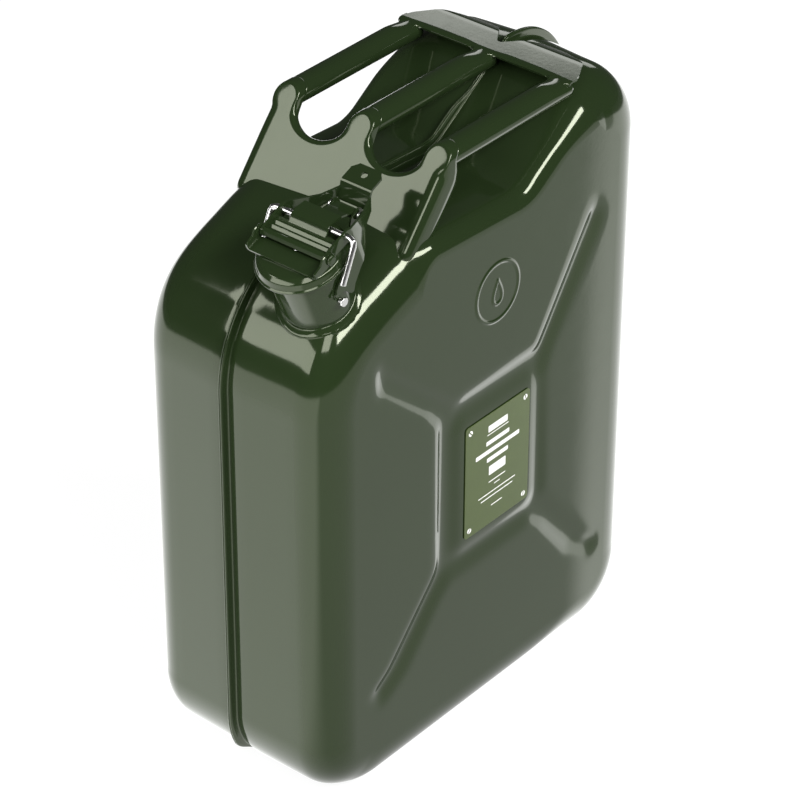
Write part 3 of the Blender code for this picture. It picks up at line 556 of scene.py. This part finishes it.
def plate_half_outline():
    """Half outline (s up the plate, y across) from the middle tip round the side to the foot."""
    line = []
    reach = BAR_RADIUS + BAR_SPREAD
    centre = 0.5 * BAR_Y
    for turn in np.radians(np.linspace(90.0, 0.0, 12)):
        line.append((TIP_S + TIP_RISE * math.sin(turn), reach * math.cos(turn)))
    for turn in np.radians(np.linspace(180.0, 360.0, 46))[1:]:
        line.append((TIP_S + NOTCH_DEPTH * math.sin(turn), centre + (centre - reach) * math.cos(turn)))
    for turn in np.radians(np.linspace(180.0, 0.0, 26))[1:]:
        line.append((TIP_S + TIP_RISE * math.sin(turn), BAR_Y + reach * math.cos(turn)))
    for s in np.linspace(TIP_S - 2.5, 2.0, 26):
        line.append((s, PLATE_HALF - 0.35 * float(smoothstep(s, 34.0, TIP_S))))
    for turn in np.radians(np.linspace(0.0, 90.0, 9)):
        line.append((1.0 - 9.0 * math.sin(turn), PLATE_HALF - 9.0 + 9.0 * math.cos(turn)))
    for y in np.linspace(62.0, 0.0, 22):
        line.append((-8.0 + 6.0 * float(smoothstep(-y, -60.0, -46.0)), y))
    return line


def front_plate():
    """The slanted plate: flat face, sides and notches bent backwards, tips drawn over the bars."""
    half = plate_half_outline()
    outline = np.array(half + [(s, -y) for s, y in half[-2:0:-1]])
    ahead = np.roll(outline, -1, axis=0) - np.roll(outline, 1, axis=0)
    ahead /= np.linalg.norm(ahead, axis=1)[:, None]
    outward = np.column_stack((ahead[:, 1], -ahead[:, 0]))
    if outward[0, 0] < 0:
        outward = -outward
    s, y = outline[:, 0], np.abs(outline[:, 1])
    tip = smoothstep(s, TIP_S - 9.0, TIP_S + 1.0)
    foot = 1.0 - smoothstep(s, -6.0, 3.0)
    side = smoothstep(y, 68.0, 72.0) * (1.0 - tip)
    bend = 4.2 + 1.6 * tip + 4.0 * side
    bend = bend * (1.0 - foot * (1.0 - smoothstep(y, 60.0, 72.0))) + 0.8 * foot
    depth = 5.6 + 2.8 * tip + 12.0 * side - 3.4 * foot
    pull = (1.0 + 4.0 * tip)[:, None]
    back = -PLATE_OUT[None, :] * (1.0 - tip)[:, None] + np.array((1.0, 0.0, 0.0))[None, :] * tip[:, None]
    back /= np.linalg.norm(back, axis=1)[:, None]
    normal = outward[:, :1] * PLATE_DIR + outward[:, 1:] * np.array((0.0, 1.0, 0.0))
    origin = np.array((PLATE_FOOT[0], 0.0, PLATE_FOOT[1]))
    corner = origin + outline[:, :1] * PLATE_DIR + outline[:, 1:] * np.array((0.0, 1.0, 0.0))
    skins = []
    for layer in (0.0, PLATE_SHEET):
        edge = corner - normal * layer
        first = corner - normal * bend[:, None] - PLATE_OUT * layer
        knee = edge - PLATE_OUT * layer * (1.0 - tip)[:, None]
        last = edge + back * bend[:, None]
        rings = [corner - normal * (bend + 1.1)[:, None] - PLATE_OUT * layer]
        for t in np.linspace(0.0, 1.0, 9):
            early, late = (1 - t) ** 2, t * t
            share = 2 * t * (1 - t) * pull
            rings.append((first * early + knee * share + last * late) / (early + share + late))
        end = edge + back * depth[:, None]
        rim = end + normal * (0.3 if layer else -0.3)
        rings += [last + (end - last) * 0.5, end - back * 0.35, rim]
        skins.append(rings)
    rings = skins[0] + skins[1][::-1]
    count = len(outline)
    faces = tube_faces(len(rings), count)
    faces.append(tuple(range(count)))
    faces.append(tuple(range((len(rings) - 1) * count, len(rings) * count)))
    return build("front_plate_pressing", np.concatenate(rings), faces, HANDLE_PAINT, "can",
                 ["handle_front_plate"])


def bar(name, across):
    """Rolled bar: crest drawn into the front tip, flattened where it runs into the rear plate."""
    segments = 72
    turns = np.radians(np.linspace(0.0, 360.0, segments, endpoint=False))
    stations = np.concatenate((np.linspace(0.0, 0.06, 3), np.linspace(0.12, 0.8, 18),
                               np.linspace(0.83, 1.0, 14)))
    rings = []
    for radius, order in ((BAR_OUTER, 1), (BAR_INNER, -1)):
        for share in stations[::order]:
            ring = []
            for turn in turns:
                below = -math.degrees(math.atan2(math.sin(turn), -math.cos(turn)))
                lap = 0.45 * float(smoothstep(below, 34.0, 37.0))
                lap *= 1.0 if math.cos(turn) < 0 else 0.0
                reach = radius - (lap if order > 0 else 0.0)
                dy, dz = (reach + BAR_SPREAD) * math.cos(turn), reach * math.sin(turn)
                base = PLATE_FOOT[0] + (BAR_Z + dz - PLATE_FOOT[1]) * PLATE_DIR[0] / PLATE_DIR[2]
                start = base + 2.4 + 4.0 * float(smoothstep(math.sin(turn), -0.3, 0.3))
                x = start + (90.5 - start) * share
                if dz > 0:
                    dz *= 1.0 - BAR_FLATTENING * float(smoothstep(x, 66.0, 89.0)) * (radius / BAR_OUTER)
                ring.append((x, across + dy, BAR_Z + dz))
            rings.append(ring)
    faces = tube_faces(len(rings), segments, closed=True)
    return build(name + "_rolled", np.concatenate(rings), faces, HANDLE_PAINT, "can", [name])


def rear_plate():
    """Rear plate: lip between the bars, rounded outer corners, V notch and a sloping rear edge."""
    plan = [(70, -90, 4), (86, -74, 8), (100, -71, 12), (119, -60, 14), (129, -38, 8), (129, -19, 2),
            (102, 0, 3), (129, 19, 2), (129, 38, 8), (119, 60, 14), (100, 71, 12), (86, 74, 8), (70, 90, 4)]
    border, _ = fillet(plan, 0.8, math.radians(6.0))
    line = np.array([(88.0, 462.2), (88.4, 463.6), (89.3, 464.6), (90.6, 465.0), (113.6, 463.4),
                     (117.4, 462.9), (120.6, 462.0), (124.0, 460.7), (129.5, 458.4)])
    columns = np.unique(np.concatenate((np.linspace(-73.2, 73.2, 120), np.linspace(-6, 6, 25),
                                        np.linspace(-72.9, -52, 30), np.linspace(52, 72.9, 30),
                                        np.linspace(8, 18, 14), np.linspace(-18, -8, 14))))
    top = []
    for y in columns:
        crossings = []
        for i in range(len(border)):
            a, b = border[i], border[(i + 1) % len(border)]
            if (a[1] - y) * (b[1] - y) <= 0 and a[1] != b[1]:
                crossings.append(a[0] + (b[0] - a[0]) * (y - a[1]) / (b[1] - a[1]))
        stop = max(crossings)
        gap = min(abs(y), abs(abs(y) - BAR_Y)) - 6.5
        window = float(smoothstep(gap, 0.0, 8.0))
        pull = 5.0 * (1.0 - math.sqrt(max(0.0, 1.0 - (1.0 - min(1.0, max(0.0, gap / 8.0))) ** 2)))
        reach = pull + 1.2 * window
        floor_z = 462.2 + 1.6 * window
        profile = [(88.0 - reach, floor_z - 0.2), (88.0 - reach, floor_z - 0.1)]
        profile += [(x - reach * (1.0 if x < 90 else 0.0), max(z, floor_z) if x < 92 else z) for x, z in line]
        profile = np.array(profile)
        xs = np.concatenate((np.linspace(0, 5, 21), np.linspace(5.4, len(profile) - 1, 60)))
        track = np.column_stack([np.interp(xs, np.arange(len(profile)), profile[:, k]) for k in (0, 1)])
        keep = track[:, 0] <= stop
        limit = np.interp(stop, track[10:, 0], xs[10:]) if not keep.all() else xs[-1]
        places = np.concatenate((np.linspace(0, 5, 22)[:-1], np.linspace(5, max(limit, 5.2), 56)))
        col = np.column_stack([np.interp(places, np.arange(len(profile)), profile[:, k]) for k in (0, 1)])
        top.append(np.column_stack((col[:, 0], np.full(len(col), y), col[:, 1])))
    top = np.array(top)
    along = np.gradient(top, axis=1)
    down = np.stack((along[:, :, 2], np.zeros(along.shape[:2]), -along[:, :, 0]), axis=-1)
    down /= np.maximum(1e-9, np.linalg.norm(down, axis=2))[:, :, None]
    under = top + down * 1.3
    rows, cols = top.shape[:2]
    loops = [np.concatenate((top[i], under[i][::-1])) for i in range(rows)]
    width = 2 * cols
    faces = []
    for i in range(rows - 1):
        for j in range(width):
            k = (j + 1) % width
            faces.append((i * width + j, i * width + k, (i + 1) * width + k, (i + 1) * width + j))
    for i in (0, rows - 1):
        for j in range(cols - 1):
            base = i * width
            faces.append((base + j, base + j + 1, base + width - 2 - j, base + width - 1 - j))
    plate = build("rear_plate_pressing", np.concatenate(loops), faces, HANDLE_PAINT, "can",
                  ["handle_rear_plate"])
    return bevel(plate, 0.35, 2, 50.0)


front_plate()
bar("handle_bar_right", -BAR_Y)
bar("handle_bar_center", 0.0)
bar("handle_bar_left", BAR_Y)
rear_plate()


# ---------------------------------------------------------------- label
def slab(name, outline, low, high, mat, nodes=(), smooth=False):
    """Flat plate in the side face's plane between two |y| levels on the right side."""
    count = len(outline)
    verts = [(x, -low, z) for x, z in outline] + [(x, -high, z) for x, z in outline]
    faces = tube_faces(2, count) + [tuple(range(count)), tuple(range(count, 2 * count))]
    return build(name, verts, faces, mat, "can", nodes, smooth)


def label():
    """Printed plate with plain bars for its lines and a slotted screw in each corner."""
    low, high = (np.array(c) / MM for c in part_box("label_plate"))
    x0, x1, z0, z1 = low[0], high[0], low[2], high[2]
    inner, outer = -high[1], -low[1]
    outline, _ = fillet([(x0, z0, 3), (x1, z0, 3), (x1, z1, 3), (x0, z1, 3)], 8.0, math.radians(10))
    bevel(slab("label_sheet", outline, inner, outer - 0.04, LABEL, ["label_plate"]), 0.12, 2)
    middle = 0.5 * (x0 + x1)
    rows = ((0.868, 0.30, 5.2), (0.818, 0.33, 0.7), (0.745, 0.36, 3.4), (0.668, 0.68, 3.4),
            (0.592, 0.33, 3.4), (0.488, 0.26, 7.4), (0.385, 0.26, 0.8), (0.345, 0.09, 0.7),
            (0.285, 0.58, 0.8), (0.245, 0.50, 0.8), (0.16, 0.17, 0.8))
    for index, (height, share, thick) in enumerate(rows):
        z = z0 + (z1 - z0) * height
        reach = 0.5 * (x1 - x0) * share
        ends = max(0.15, min(0.6, 0.35 * thick))
        shape, _ = fillet([(middle - reach, z - thick / 2, ends), (middle + reach, z - thick / 2, ends),
                           (middle + reach, z + thick / 2, ends), (middle - reach, z + thick / 2, ends)],
                          20.0, math.radians(20))
        slab("label_line_%02d" % index, shape, outer - 0.06, outer, PRINT)
    screws = ((x0 + 5, z0 + 5.5), (x1 - 5, z0 + 5.5), (x1 - 5, z1 - 5.5), (x0 + 5, z1 - 5.5))
    for i, (x, z) in enumerate(screws):
        for part, flip in (("a", 1.0), ("b", -1.0)):
            shape = []
            for turn in np.radians(np.linspace(12.0, 168.0, 15)):
                along, up = 2.1 * math.cos(turn), flip * 2.1 * math.sin(turn)
                tilt = math.radians(62.0 + 23.0 * i)
                shape.append((x + along * math.cos(tilt) - up * math.sin(tilt),
                              z + along * math.sin(tilt) + up * math.cos(tilt)))
            slab("label_screw_%d%s" % (i, part), shape, outer - 0.06, outer + 0.12, PRINT)


label()

# ---------------------------------------------------------------- neck and closure
TILT_CO, TILT_SI = math.cos(NECK_TILT), math.sin(NECK_TILT)


def local(points):
    """Closure-frame points (along, across, out) in the can's frame."""
    p = np.asarray(points, dtype=float).reshape(-1, 3)
    return np.column_stack((CAP_CENTRE[0] + TILT_CO * p[:, 0] - TILT_SI * p[:, 2], CAP_CENTRE[1] + p[:, 1],
                            CAP_CENTRE[2] + TILT_SI * p[:, 0] + TILT_CO * p[:, 2]))


def lathe(name, corners, mat, body, node, segments=96, spacing=1.2):
    """Turn a closed, rounded (radius, height, fillet) section about the neck's axis."""
    section, _ = fillet(corners, spacing, math.radians(18))
    turns = np.radians(np.linspace(0.0, 360.0, segments, endpoint=False))
    rings = [local([(r * math.cos(t), r * math.sin(t), h) for r, h in section]) for t in turns]
    faces = tube_faces(segments, len(section), closed=True)
    return build(name, np.concatenate(rings), faces, mat, body, [node] if node else ())


def refined(node_name, mat, width=0.45, segments=2, angle=28.0):
    """Copy of a CAD pressing with its edges rounded like rolled and painted sheet."""
    source = FRAME["nodes"][node_name]
    bm = bmesh.new()
    bm.from_mesh(source.data)
    bmesh.ops.remove_doubles(bm, verts=bm.verts, dist=2.0e-6)
    bmesh.ops.dissolve_limit(bm, angle_limit=math.radians(1.0), verts=bm.verts, edges=bm.edges)
    mesh = bpy.data.meshes.new(node_name + "_finish")
    bm.to_mesh(mesh)
    bm.free()
    mesh.polygons.foreach_set("use_smooth", [True] * len(mesh.polygons))
    mesh.materials.clear()
    mesh.materials.append(mat)
    item = bpy.data.objects.new(node_name + "_finish", mesh)
    bpy.context.scene.collection.objects.link(item)
    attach(item, source["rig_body"])
    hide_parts(node_name)
    bevel(item, width, segments, angle)
    even = item.modifiers.new("even_normals", "WEIGHTED_NORMAL")
    even.weight = 90
    return item


lathe("neck_tube_turned", [(21.8, -60, 0.4), (23.0, -60, 0.4), (23.1, -52, 6.0), (24.75, -46, 6.0),
                           (24.75, -5.2, 1.0), (23.6, -4.0, 0.5), (22.4, -4.0, 0.5), (21.8, -6.4, 0.8)],
      CLOSURE_PAINT, "can", "neck_tube")
lathe("cap_dome", [(2.4, 2.8, 0.1), (18.0, 2.7, 12.0), (25.2, 2.1, 3.0), (28.6, -0.4, 2.0), (29.8, -4.4, 0.8),
                   (31.0, -5.2, 0.35), (31.0, -6.4, 0.35), (29.5, -6.4, 0.4), (28.9, -4.4, 0.6),
                   (27.6, -0.8, 1.5), (24.6, 0.8, 2.0), (18.0, 1.4, 8.0), (2.4, 1.6, 0.1)],
      CLOSURE_PAINT, "cap", "cap_shell", 128)
lathe("gasket_ring", [(2.4, -0.7, 0.1), (26.0, -0.7, 0.5), (26.6, -1.6, 0.5), (26.6, -3.0, 0.4),
                      (25.9, -3.7, 0.4), (2.4, -3.7, 0.1)], RUBBER, "cap", "cap_gasket")
lathe("retainer_disc", [(2.4, -4.0, 0.1), (17.5, -4.0, 0.6), (18.5, -4.5, 0.3), (18.5, -5.2, 0.2),
                        (17.0, -4.8, 0.6), (2.4, -4.8, 0.1)], STEEL, "cap", "gasket_retainer")


def collar():
    """Weld bead that follows the shoulder round the neck."""
    segments = 120
    axis = Vector((TILT_SI, 0.0, -TILT_CO))
    columns = []
    for index in range(segments):
        turn = 2.0 * math.pi * index / segments
        ripple = 0.05 * math.sin(9.0 * turn) + 0.03 * math.sin(23.0 * turn + 1.0)
        heights = []
        for radius in BEAD:
            spot = local([(radius * math.cos(turn), radius * math.sin(turn), 0.0)])[0]
            hit = SURFACE.ray_cast(Vector(spot), axis)
            heights.append(-(Vector(spot) - hit[0]).length if hit[0] is not None else -45.0)
        column = [(BEAD[0], heights[0] - 0.4)]
        for radius, lift, base in zip(BEAD, BEAD_RISE, heights):
            column.append((radius + ripple * (radius > BEAD[0]), base + lift + ripple * 0.5))
        column.append((BEAD[4] - 0.2, heights[4] - 0.4))
        columns.append(local([(r * math.cos(turn), r * math.sin(turn), h) for r, h in column]))
    faces = tube_faces(segments, len(columns[0]), closed=True)
    return build("neck_weld_collar", np.concatenate(columns), faces, CLOSURE_PAINT, "can", ["neck_collar"])


def neck_hole():
    """Open the shoulder under the neck."""
    turns = np.radians(np.linspace(0.0, 360.0, 96, endpoint=False))
    circle = [(NECK_BORE * math.cos(t), NECK_BORE * math.sin(t)) for t in turns]
    rings = [local([(x, y, h) for x, y in circle]) for h in (-90.0, -15.0)]
    faces = tube_faces(2, 96) + [tuple(range(95, -1, -1)), tuple(range(96, 192))]
    pierce(SKIN_RIGHT, np.concatenate(rings), faces)


collar()
neck_hole()
for name, slot, width in (("neck_bracket", "bracket", 0.35), ("cap_bridge", "bridge", 0.4),
                          ("hinge_strap", "strap", 0.35), ("closure_lever", "lever", 0.5)):
    refined(name, CLOSURE_PAINT, width)
for name, slot, width in (("locking_bail", "bail", 0.5), ("hinge_pin", "pin", 0.3),
                          ("retainer_rivet", "rivet", 0.25), ("catch_stud_left", "stud_left", 0.3),
                          ("catch_stud_right", "stud_right", 0.3)):
    refined(name, ZINC, width)
for name, slot in (("pivot_rivet_left", "pivot_left"), ("pivot_rivet_right", "pivot_right")):
    refined(name, CLOSURE_PAINT, 0.35)
refined("breather_tube", STEEL, 0.1)


# ---------------------------------------------------------------- studio
def floor():
    """Glowing white floor: the camera sees it evenly white, reflections see painted light with a painted soft
    shadow of the can on the label side, and it ends far away.
    """
    mesh = bpy.data.meshes.new("floor")
    reach = 8.0
    mesh.from_pydata([(-reach, -reach, 0), (reach, -reach, 0), (reach, reach, 0), (-reach, reach, 0)], [],
                     [(0, 1, 2, 3)])
    mat = bpy.data.materials.new("floor_glow_painted_shadow")
    mat.use_nodes = True
    tree = mat.node_tree
    tree.nodes.clear()
    new, link = tree.nodes.new, tree.links.new
    place = new("ShaderNodeTexCoord")
    # painted shadow of the can in the floor's glow: each line gives a 0 to 1 mask
    inside = []
    for normal, offset, soft in PAINTED_SHADOW_LINES:
        spot = new("ShaderNodeVectorMath")
        spot.operation = "DOT_PRODUCT"
        link(place.outputs["Object"], spot.inputs[0])
        spot.inputs[1].default_value = (*normal, 0.0)
        edge = new("ShaderNodeMapRange")
        edge.interpolation_type = "SMOOTHSTEP"
        edge.inputs["From Min"].default_value = offset
        edge.inputs["From Max"].default_value = offset + soft
        link(spot.outputs["Value"], edge.inputs["Value"])
        inside.append(edge.outputs["Result"])
    # painted shadow mask, where both lines hold
    shade = new("ShaderNodeMath")
    shade.operation = "MULTIPLY"
    link(inside[0], shade.inputs[0])
    link(inside[1], shade.inputs[1])
    # glow in reflections: painted light outside the painted shadow, dimmer inside it
    side = new("ShaderNodeMapRange")
    side.inputs["To Min"].default_value = FLOOR_PAINTED_LIGHT
    side.inputs["To Max"].default_value = FLOOR_PAINTED_SHADOW
    link(shade.outputs["Value"], side.inputs["Value"])
    away = new("ShaderNodeVectorMath")
    away.operation = "LENGTH"
    link(place.outputs["Object"], away.inputs[0])
    fade = new("ShaderNodeMapRange")
    fade.interpolation_type = "SMOOTHSTEP"
    for key, value in (("From Min", 1.9), ("From Max", 2.5), ("To Min", 1.0), ("To Max", 0.05)):
        fade.inputs[key].default_value = value
    link(away.outputs["Value"], fade.inputs["Value"])
    seen = new("ShaderNodeMath")
    seen.operation = "MULTIPLY"
    link(side.outputs["Result"], seen.inputs[0])
    link(fade.outputs["Result"], seen.inputs[1])
    # camera rays see the even glow, other rays see the painted light and painted shadow
    path = new("ShaderNodeLightPath")
    choose = new("ShaderNodeMix")
    link(path.outputs["Is Camera Ray"], choose.inputs["Factor"])
    link(seen.outputs["Value"], choose.inputs["A"])
    choose.inputs["B"].default_value = FLOOR_SEEN
    glow = new("ShaderNodeEmission")
    link(choose.outputs["Result"], glow.inputs["Strength"])
    matte = new("ShaderNodeBsdfDiffuse")
    matte.inputs["Color"].default_value = (0.16, 0.16, 0.16, 1.0)
    both = new("ShaderNodeAddShader")
    link(glow.outputs["Emission"], both.inputs[0])
    link(matte.outputs["BSDF"], both.inputs[1])
    out = new("ShaderNodeOutputMaterial")
    link(both.outputs["Shader"], out.inputs["Surface"])
    mesh.materials.append(mat)
    item = bpy.data.objects.new("floor", mesh)
    item.location = (0.0, 0.0, -0.0006)
    bpy.context.scene.collection.objects.link(item)


def studio_world():
    """Dim room with a white backdrop."""
    world = bpy.data.worlds.new("studio")
    bpy.context.scene.world = world
    world.use_nodes = True
    tree = world.node_tree
    back = tree.nodes["Background"]
    path = tree.nodes.new("ShaderNodeLightPath")
    shade = tree.nodes.new("ShaderNodeMix")
    shade.data_type = "RGBA"
    shade.inputs["A"].default_value = (0.06, 0.06, 0.06, 1.0)
    shade.inputs["B"].default_value = (1.0, 1.0, 1.0, 1.0)
    tree.links.new(path.outputs["Is Camera Ray"], shade.inputs["Factor"])
    tree.links.new(shade.outputs["Result"], back.inputs["Color"])
    back.inputs["Strength"].default_value = 1.0


def softbox(name, azimuth, elevation, distance, size, radiance):
    """Rectangular softbox of even radiance; degrees round the can from +X and above the floor, metres."""
    light = bpy.data.lights.new(name, "AREA")
    light.shape = "RECTANGLE"
    light.size, light.size_y = size
    light.energy = radiance * math.pi * size[0] * size[1]
    item = bpy.data.objects.new(name, light)
    turn, rise = math.radians(azimuth), math.radians(elevation)
    way = Vector((math.cos(rise) * math.cos(turn), math.cos(rise) * math.sin(turn), math.sin(rise)))
    item.location = Vector((0.0, 0.0, 0.3)) + way * distance
    item.rotation_euler = (-way).to_track_quat("-Z", "Y").to_euler()
    bpy.context.scene.collection.objects.link(item)


def camera():
    """Camera at the photograph's viewing angle."""
    azimuth, elevation = math.radians(-50.15), math.radians(33.63)
    target = Vector((-0.0003, -0.0021, 0.2296))
    back = Vector((math.sin(azimuth) * math.cos(elevation), -math.cos(azimuth) * math.cos(elevation),
                   math.sin(elevation)))
    lens = bpy.data.cameras.new("camera")
    lens.lens = 155.2
    lens.sensor_width = 36.0
    item = bpy.data.objects.new("camera", lens)
    turn = back.to_track_quat("Z", "Y").to_matrix().to_4x4() @ Matrix.Rotation(math.radians(0.20), 4, "Z")
    item.matrix_world = Matrix.Translation(target + back * 2.3715) @ turn
    bpy.context.scene.collection.objects.link(item)
    bpy.context.scene.camera = item


floor()
studio_world()
softbox("plate_box", 138.8, 35.5, 2.4, (0.40, 0.50), 6.6)
softbox("nose_box", 163.5, 21.5, 2.4, (1.65, 0.85), 6.0)
softbox("edge_strip", -93.0, 43.0, 2.6, (2.6, 0.5), 24.0)
softbox("column_box", -152.0, 40.0, 2.6, (0.7, 0.8), 8.0)
softbox("back_box", 25.0, 19.0, 2.8, (1.2, 0.55), 2.4)
camera()
bpy.context.scene.view_settings.view_transform = "Standard"
